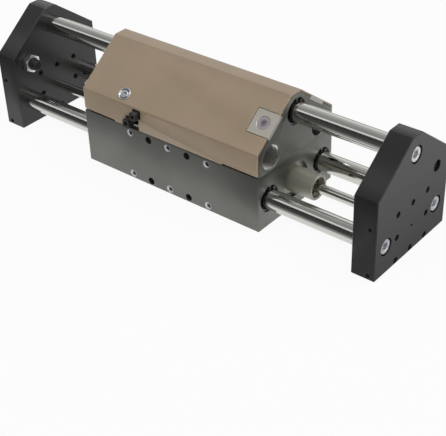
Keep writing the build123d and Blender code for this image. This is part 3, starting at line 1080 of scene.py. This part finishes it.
@dataclass(frozen=True)
class RetainingRing:
    """An internal retaining ring: a C of spring steel with two drilled ears that turn inward."""

    outer: float
    inner: float
    thick: float
    gap_at: float
    gap_angle: float = 26.0
    belly: float = 0.7
    ear_radius: float = 1.75
    ear_hole: float = 0.8
    ear_turn: float = 0.11
    ear_in: float = 0.2
    ear_proud: float = 0.02
    arc_steps: int = 72
    ear_steps: int = 24

    def fill(self, work: Work) -> None:
        """Add one ring to a mesh, below its seat.

        Args:
            work: Mesh that takes the ring.
        """
        half = math.radians(self.gap_angle / 2)
        sweep = 2 * math.pi - 2 * half
        rows = []
        for i in range(self.arc_steps + 1):
            turn = math.radians(self.gap_at) + half + sweep * i / self.arc_steps
            across = Vector((math.cos(turn), math.sin(turn), 0))
            # The ring is deepest opposite its gap, as a stamped one is.
            inner = self.inner + self.belly * abs(i / self.arc_steps - 0.5) * 2
            corners = ((self.outer, 0), (self.outer, -self.thick), (inner, -self.thick), (inner, 0))
            rows.append([work.verts.new((across * radius + Vector((0, 0, level))) * MM)
                         for radius, level in corners])
        for near, far in zip(rows, rows[1:]):
            for k in range(4):
                work.faces.new((near[k], near[(k + 1) % 4], far[(k + 1) % 4], far[k]))
        work.faces.new(rows[0])
        work.faces.new(list(reversed(rows[-1])))
        steps = [Step(self.ear_proud, self.ear_hole), Step(self.ear_proud, self.ear_radius),
                 Step(-self.thick, self.ear_radius), Step(-self.thick, self.ear_hole)]
        for hand in (-1, 1):
            turn = math.radians(self.gap_at) + hand * (half + self.ear_turn)
            reach = self.inner + self.ear_in
            ear = Matrix.Translation(Vector((reach * math.cos(turn), reach * math.sin(turn), 0)) * MM)
            lathe(work, steps, ear, self.ear_steps)

    def fit(self, name: str, places: list[Matrix], shop: Workshop, node: str) -> None:
        """Bend a ring for each seat and fix them to the housing.

        Args:
            name: The new object's name.
            places: Where the rings sit.
            shop: The shared workshop.
            node: The CAD node that they stand for.
        """
        one = object_from(name + "_one", self.fill, shop.paints.get(Slot.BLACK_SPRING_STEEL))
        many = shop.repeat(name, one, places, Slot.BLACK_SPRING_STEEL)
        shop.hand_over(many, Body.HOUSING, Slot.BLACK_SPRING_STEEL, node)


@dataclass
class Guide:
    """Three ground shafts in linear bearings, each bearing held by a retaining ring."""

    shop: Workshop
    shaft_radius: float = 10.0
    shaft_half: float = 227.45
    shaft_edge: float = 0.8
    shaft_steps: int = 144
    thread_radius: float = 5.05
    thread_depth: float = 27.0
    bearing_start: float = 2.7
    bearing_length: float = 30.0
    bearing_radius: float = 13.95
    bearing_edge: float = 0.5
    shell_wall: float = 1.5
    seal_gap: float = 0.05
    running_gap: float = 0.06
    ring: RetainingRing = RetainingRing(14.6, 12.0, 1.2, 55.0)
    ring_depth: float = 1.5

    def shafts(self) -> None:
        """Turn the three shafts, with their threaded ends."""
        half, r, edge = self.shaft_half, self.shaft_radius, self.shaft_edge
        bottom = half - self.thread_depth
        steps = [Step(half - edge, r), Step(half, r - edge), Step(half, self.thread_radius),
                 Step(bottom, self.thread_radius), Step(bottom, 0)]
        for name, place in SHAFT_AXES.items():
            self.shop.fit_bar(f"guide_shaft_{name}", steps, place, f"shaft_{name}", self.shaft_steps)

    def bearings(self) -> None:
        """Turn the bearings' steel shells and their black end seals."""
        r, edge, length = self.bearing_radius, self.bearing_edge, self.bearing_length
        bore, lip = r - self.shell_wall, self.shaft_radius + self.running_gap
        fit = bore - self.seal_gap
        shell = [Step(0, r - edge), Step(-edge, r), Step(edge - length, r), Step(-length, r - edge),
                 Step(-length, bore), Step(-1.0, bore), Step(-0.3, bore + 0.4), Step(0, bore + 0.5)]
        seal = [Step(-0.6, fit), Step(-0.6, lip + 1.3), Step(-1.1, lip + 1.0), Step(-1.1, lip + 0.5),
                Step(-0.5, lip + 0.15), Step(-0.5, lip), Step(-2.6, lip), Step(-2.6, fit)]
        places = both_ends(HOUSING_END - self.bearing_start, *SHAFT_AXES.values())
        nodes = [f"bearing_{name}_{end.name.lower()}" for end in End for name in SHAFT_AXES]
        self.shop.fit_turned("bearing_shells", shell, places, Body.HOUSING, Slot.BEARING_STEEL, *nodes)
        self.shop.fit_turned("bearing_seals", seal, places, Body.HOUSING, Slot.BLACK_RUBBER)

    def build(self) -> None:
        """Build the whole guide."""
        self.shafts()
        self.bearings()
        places = both_ends(HOUSING_END - self.ring_depth, *SHAFT_AXES.values())
        self.ring.fit("shaft_bore_rings", places, self.shop, "bearing_rings")


@dataclass
class Cylinder:
    """The pneumatic cylinder: end caps with long bosses, rings, wipers and the piston rod."""

    shop: Workshop
    cap_inner: float = 90.5
    cap_front: float = 108.5
    cap_radius: float = 18.95
    cap_steps: int = 144
    bush_radius: float = 7.0
    bush_length: float = 18.0
    boss_end: float = 139.5
    boss_radius: float = 13.25
    boss_edge: float = 0.8
    mouth_radius: float = 10.5
    mouth_depth: float = 6.0
    mouth_edge: float = 0.5
    wiper_seat: float = 9.0
    wiper_length: float = 3.0
    fit_gap: float = 0.05
    running_gap: float = 0.06
    rod_radius: float = 5.0
    rod_bore: float = 5.1
    rod_half: float = 217.5
    rod_steps: int = 120
    spigot_radius: float = 4.0
    spigot_length: float = 16.0
    # Its ears stand at the top, as in the photograph.
    ring: RetainingRing = RetainingRing(19.6, 17.0, 1.75, 100.0, 24.0)

    def caps(self) -> None:
        """Turn both caps."""
        front, boss, mouth, edge = self.boss_end, self.boss_radius, self.mouth_radius, self.mouth_edge
        floor = front - self.mouth_depth
        back, bush_end = floor - self.wiper_length, self.cap_inner + self.bush_length
        steps = [Step(self.cap_inner, self.bush_radius), Step(self.cap_inner, self.cap_radius),
                 Step(self.cap_front, self.cap_radius), Step(self.cap_front, boss),
                 Step(front - self.boss_edge, boss), Step(front, boss - self.boss_edge),
                 Step(front, mouth + edge), Step(front - edge, mouth), Step(floor, mouth),
                 Step(floor, self.wiper_seat), Step(back, self.wiper_seat), Step(back, self.rod_bore),
                 Step(bush_end, self.rod_bore), Step(bush_end, self.bush_radius)]
        finish = CAP_FINISH.make()
        for end in End:
            word = end.name.lower()
            piece = lathe_object(f"cylinder_cap_{word}", steps, end_seat(end, CYLINDER_AXIS, 0), finish,
                                 self.cap_steps)
            self.shop.hand_over(piece, Body.HOUSING, Slot.GREY_ANODISED, f"end_cap_{word}")

    def wipers(self) -> None:
        """Turn the rod wipers, each with a lip."""
        lip, rim = self.rod_radius + self.running_gap, self.wiper_seat - self.fit_gap
        length = self.wiper_length
        steps = [Step(0, rim), Step(0, lip + 2.2), Step(-0.8, lip + 1.5), Step(0, lip + 0.4), Step(0, lip),
                 Step(-length, lip), Step(-length, rim)]
        places = both_ends(self.boss_end - self.mouth_depth, CYLINDER_AXIS)
        self.shop.fit_turned("rod_wiper_rings", steps, places, Body.HOUSING, Slot.BLACK_RUBBER, "rod_wipers")

    def rod(self) -> None:
        """Turn the piston rod with its spigots."""
        tip = self.rod_half + self.spigot_length
        steps = [Step(self.rod_half, self.rod_radius), Step(self.rod_half, self.spigot_radius),
                 Step(tip, self.spigot_radius), Step(tip, 0)]
        self.shop.fit_bar("drive_rod", steps, CYLINDER_AXIS, "piston_rod", self.rod_steps)

    def build(self) -> None:
        """Build the whole cylinder."""
        self.caps()
        self.wipers()
        self.rod()
        places = both_ends(self.cap_front + self.ring.thick, CYLINDER_AXIS)
        self.ring.fit("cap_bore_rings", places, self.shop, "cap_rings")


@dataclass
class PlateHardware:
    """Cap screws, threaded holes, stop screws and nuts of the two end plates."""

    shop: Workshop
    plate_inner: float = 217.5
    plate_outer: float = 242.5
    head_radius: float = 8.0
    head_height: float = 10.0
    head_sink: float = 1.0
    head_steps: int = 144
    shank_radius: float = 5.0
    shank_end: float = 200.55
    socket: float = 8.0
    socket_depth: float = 5.0
    socket_tip: float = 1.2
    grid_pitch: float = 25.0
    grid_height: float = 30.0
    grid_radius: float = 3.45
    grid_thread: float = 1.25
    side_hole_in: float = 7.1
    side_hole_radius: float = 2.55
    side_hole_thread: float = 1.0
    side_hole_depth: float = 12.0
    run_out: float = 1.0
    hole_ridge: float = 0.2
    hole_steps: int = 32
    stop_core: float = 5.38
    stop_ridge: float = 0.6
    stop_thread: float = 1.75
    stop_steps: int = 48
    stop_outer: float = 239.5
    stop_inner: float = 203.5
    nut_flats: float = 18.0
    nut_thick: float = 7.0
    nut_bore: float = 6.06
    nut_edge: float = 0.5
    cone_fall: float = 0.577

    def cap_screws(self) -> None:
        """Turn the six cap screws: hex socket, bevelled rim, knurled head and shank."""
        r, height, flat = self.head_radius, self.head_height, self.socket / 2
        top = self.plate_outer - self.head_sink
        shank = top - self.shank_end
        steps = [Step(-self.socket_depth - self.socket_tip, 0),
                 Step(-self.socket_depth, flat * 0.92, Section.HEXAGON), Step(-0.4, flat, Section.HEXAGON),
                 Step(0, flat + 0.75), Step(0, r - 0.9), Step(-0.9, r - 0.05), Step(-1.2, r, Section.KNURL),
                 Step(-height + 0.8, r, Section.KNURL), Step(-height + 0.5, r - 0.15),
                 Step(-height, r - 0.25), Step(-height, self.shank_radius), Step(-shank, self.shank_radius),
                 Step(-shank, 0)]
        self.shop.fit_turned("cap_screws", steps, both_ends(top, *SHAFT_AXES.values()), Body.CARRIAGE,
                             Slot.ZINC_STEEL, "shaft_screws", segments=self.head_steps)

    def holes(self) -> None:
        """Thread the plates' grid and side holes."""
        steps = (-1, 0, 1)
        grid = [(i * self.grid_pitch, self.grid_height + k * self.grid_pitch)
                for i in steps for k in steps if (i, k) != (0, 0)]
        thick = self.plate_outer - self.plate_inner
        through = Thread(self.grid_radius, self.grid_thread, thick - self.run_out, self.hole_ridge,
                         self.hole_steps)
        self.shop.fit_thread("grid_threads", through, both_ends(self.plate_outer, *grid), Body.CARRIAGE,
                             Slot.BLACK_ANODISED)
        sides = [seat((end.value * (self.plate_outer - self.side_hole_in), hand * HALF_WIDTH,
                       self.grid_height + k * self.grid_pitch), (0, hand, 0))
                 for end in End for hand in (-1, 1) for k in (-1, 1)]
        blind = Thread(self.side_hole_radius, self.side_hole_thread, self.side_hole_depth - self.run_out,
                       self.hole_ridge, self.hole_steps)
        self.shop.fit_thread("plate_edge_threads", blind, sides, Body.CARRIAGE, Slot.BLACK_ANODISED)

    def stops(self) -> None:
        """Turn the stop screws with their threads and the lock nuts."""
        core, length = self.stop_core, self.stop_outer - self.stop_inner
        screw = [Step(-6.0, 0), Step(-5.8, 2.8, Section.HEXAGON), Step(-0.3, 3.0, Section.HEXAGON),
                 Step(0, 3.9), Step(0, core - 0.6), Step(-0.6, core), Step(-length + 0.8, core),
                 Step(-length, core - 0.9), Step(-length, 0)]
        places = crossed_ends(self.stop_outer, ABSORBER_AT, 1)
        self.shop.fit_turned("stop_screw_cores", screw, places, Body.CARRIAGE, Slot.BLACK_STEEL,
                             "stop_screws")
        ridges = Thread(core, self.stop_thread, length - self.run_out, self.stop_ridge, self.stop_steps,
                        False)
        self.shop.fit_thread("stop_screw_threads", ridges, places, Body.CARRIAGE, Slot.BLACK_STEEL)
        flat, thick, bore, edge = self.nut_flats / 2, self.nut_thick, self.nut_bore, self.nut_edge
        nut = [Step(0, bore + edge), Step(0, flat - edge),
               Step(-edge / 2, flat, Section.HEXAGON, self.cone_fall),
               Step(-thick + edge / 2, flat, Section.HEXAGON, -self.cone_fall),
               Step(-thick, flat - edge), Step(-thick, bore + edge), Step(-thick + edge, bore),
               Step(-edge, bore)]
        self.shop.fit_turned("stop_lock_nuts", nut, crossed_ends(self.plate_inner, ABSORBER_AT, 1),
                             Body.CARRIAGE, Slot.ZINC_STEEL, "stop_nuts")

    def build(self) -> None:
        """Build all the plates' hardware."""
        self.cap_screws()
        self.holes()
        self.stops()


@dataclass
class PortPad:
    """The machined pad round an air port, square outside and round inside, below its seat."""

    half_x: float = 12.5
    half_y: float = 12.7
    height: float = 4.5
    bevel: float = 0.3
    bore: float = 6.6
    bore_bevel: float = 0.6
    steps: int = 96

    def outline(self, inset: float) -> list[Place]:
        """Walk round the square outline, with a point on each corner.

        Args:
            inset: How far it lies inside the pad's sides.

        Returns:
            As many points as a round ring has.
        """
        half_x, half_y = self.half_x - inset, self.half_y - inset
        points = []
        for i in range(self.steps):
            turn = 2 * math.pi * i / self.steps
            across, up = math.cos(turn), math.sin(turn)
            if i % (self.steps // 4) == self.steps // 8:
                points.append((math.copysign(half_x, across), math.copysign(half_y, up)))
            else:
                reach = min(half_x / max(abs(across), 1e-9), half_y / max(abs(up), 1e-9))
                points.append((across * reach, up * reach))
        return points

    def circle(self, radius: float) -> list[Place]:
        """Walk round the bore.

        Args:
            radius: The circle's radius.

        Returns:
            Its points.
        """
        turns = [2 * math.pi * i / self.steps for i in range(self.steps)]
        return [(radius * math.cos(turn), radius * math.sin(turn)) for turn in turns]

    def fill(self, work: Work, places: list[Matrix]) -> None:
        """Add a pad on each seat to a mesh.

        Args:
            work: Mesh that takes the pads.
            places: The ports' seats on the sloping faces.
        """
        loops = ((self.height, self.outline(0.0)), (self.bevel, self.outline(0.0)),
                 (0.0, self.outline(self.bevel)), (0.0, self.circle(self.bore + self.bore_bevel)),
                 (self.bore_bevel, self.circle(self.bore)), (self.height, self.circle(self.bore)))
        for place in places:
            bridge(work, [[work.verts.new(place @ (Vector((x, y, -depth)) * MM)) for x, y in loop]
                          for depth, loop in loops])


@dataclass
class HousingHardware:
    """Threads, plugs, lock screws, absorbers and sensor clamps of the fixed housing."""

    shop: Workshop
    shoulder: float = 85.0
    slope_run: float = 0.79541
    slope_rise: float = 0.60603
    side_columns: tuple[float, ...] = (-50.0, 0.0, 50.0)
    side_rows: tuple[float, ...] = (5.5, 53.5)
    side_radius: float = 3.4
    side_thread: Thread = Thread(3.3, 1.25, 14.0, 0.7, 40)
    lip_steps: int = 48
    bore_inset: float = 0.6
    bore_thread: Thread = Thread(12.5, 1.5, 90.0, 0.8, 72)
    barrel_radius: float = 11.8
    barrel_length: float = 80.0
    barrel_thread: Thread = Thread(11.8, 1.5, 78.0, 0.62, 72, False)
    absorber_face: float = 102.5
    well_depth: float = 60.0
    plunger_radius: float = 4.0
    plunger_gap: float = 0.06
    plunger_back: float = 30.0
    plunger_reach: float = 20.0
    plunger_head: float = 7.0
    plunger_head_length: float = 5.0
    port_at: Place = (100.0, 32.0)
    port_radius: float = 6.55
    pad: PortPad = field(default_factory=PortPad)
    lock_at: Place = (61.0, 10.04)
    lock_radius: float = 7.0
    clamps: tuple[Place, ...] = ((-48.8, 67.3), (-39.0, 77.8))
    clamp_front: float = -66.0
    clamp_screw_steps: int = 48

    def slope_seat(self, hand: int, along: float, up: float) -> Matrix:
        """Work out a seat on a sloping face.

        Args:
            hand: 1 for the slope on the +Y side, -1 for the other.
            along: Place along X.
            up: Distance up the slope from the shoulder.

        Returns:
            The seat's matrix.
        """
        return seat((along, hand * (HALF_WIDTH - up * self.slope_run), self.shoulder + up * self.slope_rise),
                    (0, hand * self.slope_rise, self.slope_run))

    def bore_threads(self) -> None:
        """Thread the two open absorber bores."""
        places = crossed_ends(HOUSING_END - self.bore_inset, ABSORBER_AT, -1)
        self.shop.fit_thread("absorber_bore_threads", self.bore_thread, places, Body.HOUSING,
                             Slot.PLAIN_ALUMINIUM, CUT_THREAD.make())

    def side_threads(self) -> None:
        """Line the side's tapped holes with bright thread inserts, each with a bevelled lip."""
        places = [seat((x, -HALF_WIDTH, z), (0, -1, 0)) for x in self.side_columns for z in self.side_rows]
        self.shop.fit_thread("side_thread_inserts", self.side_thread, places, Body.HOUSING, Slot.ZINC_STEEL)
        r = self.side_radius
        lip = [Step(0.06, r + 0.55), Step(0.06, r + 0.25), Step(-1.3, r - 0.8), Step(-1.4, r + 0.1),
               Step(-0.05, r + 0.55)]
        self.shop.fit_turned("side_insert_lips", lip, places, Body.HOUSING, Slot.ZINC_STEEL,
                             segments=self.lip_steps)

    def ports(self) -> None:
        """Mill the pads round the air ports, and turn the plugs: a domed rim round a deep middle."""
        places = [self.slope_seat(hand, *self.port_at) for hand in (-1, 1)]
        # The pads take the paler machined finish, which partly paints the light falling on the slopes.
        pads = object_from("port_pads", lambda work: self.pad.fill(work, places),
                           self.shop.paints.get(Slot.PLAIN_ALUMINIUM))
        self.shop.hand_over(pads, Body.HOUSING, Slot.PLAIN_ALUMINIUM)
        r = self.port_radius
        plug = [Step(-4.0, 0), Step(-4.0, 2.6), Step(-0.9, 3.3), Step(-0.35, 3.9), Step(-0.3, r - 0.9),
                Step(-0.6, r), Step(-8.0, r), Step(-8.0, 0)]
        self.shop.fit_turned("port_plug_caps", plug, places, Body.HOUSING, Slot.NATURAL_PLASTIC,
                             "port_plugs")

    def lock_screws(self) -> None:
        """Turn the lock screws: a bevelled seat ring round a set screw with a hex socket."""
        r = self.lock_radius
        ring = [Step(0.5, r - 0.35), Step(0.5, r - 1.1), Step(-0.9, r - 2.2), Step(-2.4, r - 2.2),
                Step(-2.4, r), Step(0.15, r)]
        core = [Step(-2.6, 0), Step(-2.5, 2.3, Section.HEXAGON), Step(-0.1, 2.4, Section.HEXAGON),
                Step(0.0, 2.9), Step(0.0, r - 3.1), Step(-0.5, r - 2.6), Step(-2.5, r - 2.6),
                Step(-2.5, 4.0), Step(-8.9, 4.0), Step(-8.9, 0)]
        along, up = self.lock_at
        places = [self.slope_seat(hand, hand * along, up) for hand in (-1, 1)]
        self.shop.fit_turned("lock_screw_seats", ring, places, Body.HOUSING, Slot.ZINC_STEEL)
        self.shop.fit_turned("absorber_lock_screws", core, places, Body.HOUSING, Slot.ZINC_STEEL,
                             "lock_screws")

    def absorbers(self) -> None:
        """Turn the absorbers' threaded bodies and their plungers."""
        r, length, well = self.barrel_radius, self.barrel_length, self.plunger_radius + self.plunger_gap
        barrel = [Step(-0.1, well), Step(-0.1, 6.2), Step(-0.7, 6.8), Step(-0.7, r - 1.0), Step(-1.4, r),
                  Step(-length, r), Step(-length, 0), Step(-self.well_depth, 0),
                  Step(-self.well_depth, well)]
        rod, reach, head = self.plunger_radius, self.plunger_reach, self.plunger_head
        tip = reach + self.plunger_head_length
        plunger = [Step(-self.plunger_back, 0), Step(-self.plunger_back, rod), Step(reach, rod),
                   Step(reach, head - 0.6), Step(reach + 0.6, head), Step(tip - 0.8, head),
                   Step(tip, head - 0.8), Step(tip, 0)]
        for place, end in zip(crossed_ends(self.absorber_face, ABSORBER_AT, 1), End):
            word = end.name.lower()
            self.shop.fit_turned(f"absorber_barrel_{word}", barrel, [place], Body.HOUSING, Slot.BLACK_STEEL,
                                 f"absorber_body_{word}")
            self.shop.fit_thread(f"absorber_barrel_threads_{word}", self.barrel_thread, [place],
                                 Body.HOUSING, Slot.BLACK_STEEL)
            self.shop.fit_turned(f"absorber_rod_{word}", plunger, [place], Body[f"PLUNGER_{end.name}"],
                                 Slot.HARD_CHROME, f"absorber_plunger_{word}")

    def clamp_screws(self) -> None:
        """Put a small socket screw in each sensor clamp."""
        steps = [Step(-2.2, 0), Step(-2.2, 1.0, Section.HEXAGON), Step(-1.2, 1.0, Section.HEXAGON),
                 Step(-1.1, 1.7), Step(-1.4, 2.1), Step(-4.0, 2.1), Step(-4.0, 0)]
        places = [seat((x, self.clamp_front, z), (0, -1, 0)) for x, z in self.clamps]
        self.shop.fit_turned("sensor_clamp_screws", steps, places, Body.HOUSING, Slot.BLACK_STEEL,
                             segments=self.clamp_screw_steps)

    def build(self) -> None:
        """Build all the housing's hardware."""
        self.bore_threads()
        self.side_threads()
        self.ports()
        self.lock_screws()
        self.absorbers()
        self.clamp_screws()


@dataclass
class Dresser:
    """Gives each CAD node that nothing replaces a smooth copy in its own finish."""

    shop: Workshop
    edge_breaks: dict[str, float] = field(default_factory=lambda: {
        "lower_housing": 0.4, "upper_housing": 0.4, "cover": 0.3, "sensor_clamps": 0.4})
    weld_m: float = 1e-6
    flat_degrees: float = 0.5
    square_degrees: float = 50.0
    sharp_degrees: float = 30.0
    shortest_edge: float = 4.0
    bevel_steps: int = 2

    def breaks(self, edge: bmesh.types.BMEdge) -> bool:
        """Tell whether an edge is one that a deburring tool would break.

        Args:
            edge: The edge.

        Returns:
            True for a long, outward, nearly square edge.
        """
        return (edge.is_manifold and edge.calc_length() > self.shortest_edge * MM
                and edge.calc_face_angle() > math.radians(self.square_degrees) and edge.is_convex)

    def copy(self, node: str, slot: Slot) -> Piece:
        """Copy a CAD node as closed meshes with smooth curves and sharp corners.

        Args:
            node: The CAD node.
            slot: Its material slot.

        Returns:
            The copy, which isn't riding on a body yet.
        """
        source = bpy.data.objects[node].data
        mesh = bpy.data.meshes.new(f"dressed_{node}")
        mesh.from_pydata([tuple(vertex.co) for vertex in source.vertices], [],
                         [tuple(face.vertices) for face in source.polygons])
        work = bmesh.new()
        work.from_mesh(mesh)
        bmesh.ops.remove_doubles(work, verts=work.verts, dist=self.weld_m)
        bmesh.ops.dissolve_limit(work, angle_limit=math.radians(self.flat_degrees), verts=work.verts,
                                 edges=work.edges)
        if node in self.edge_breaks:
            bmesh.ops.bevel(work, geom=[edge for edge in work.edges if self.breaks(edge)],
                            offset=self.edge_breaks[node] * MM, segments=self.bevel_steps, profile=0.5,
                            affect="EDGES", clamp_overlap=False)
        work.to_mesh(mesh)
        work.free()
        return finish_mesh(mesh, self.shop.paints.get(slot), self.sharp_degrees)

    def dress(self, record: dict) -> None:
        """Put each remaining node's finish on it.

        Args:
            record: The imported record.
        """
        bodies = {node: body for body, nodes in record["behaviour"]["bodies"].items() for node in nodes}
        for part in record["subparts"]:
            node = part["node"]
            if node not in self.shop.replaced:
                slot = Slot(part["material_slot"])
                self.shop.hand_over(self.copy(node, slot), Body(bodies[node]), slot, node)


def main() -> None:
    """Build the studio and the module's looks in order."""
    logging.basicConfig(level=logging.INFO, format="%(message)s")
    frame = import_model()
    Studio().build()
    shop = Workshop(Paintbox())
    for assembly in (Guide(shop), Cylinder(shop), PlateHardware(shop), HousingHardware(shop)):
        assembly.build()
    Dresser(shop).dress(frame["record"])


if __name__ == "__main__":
    main()
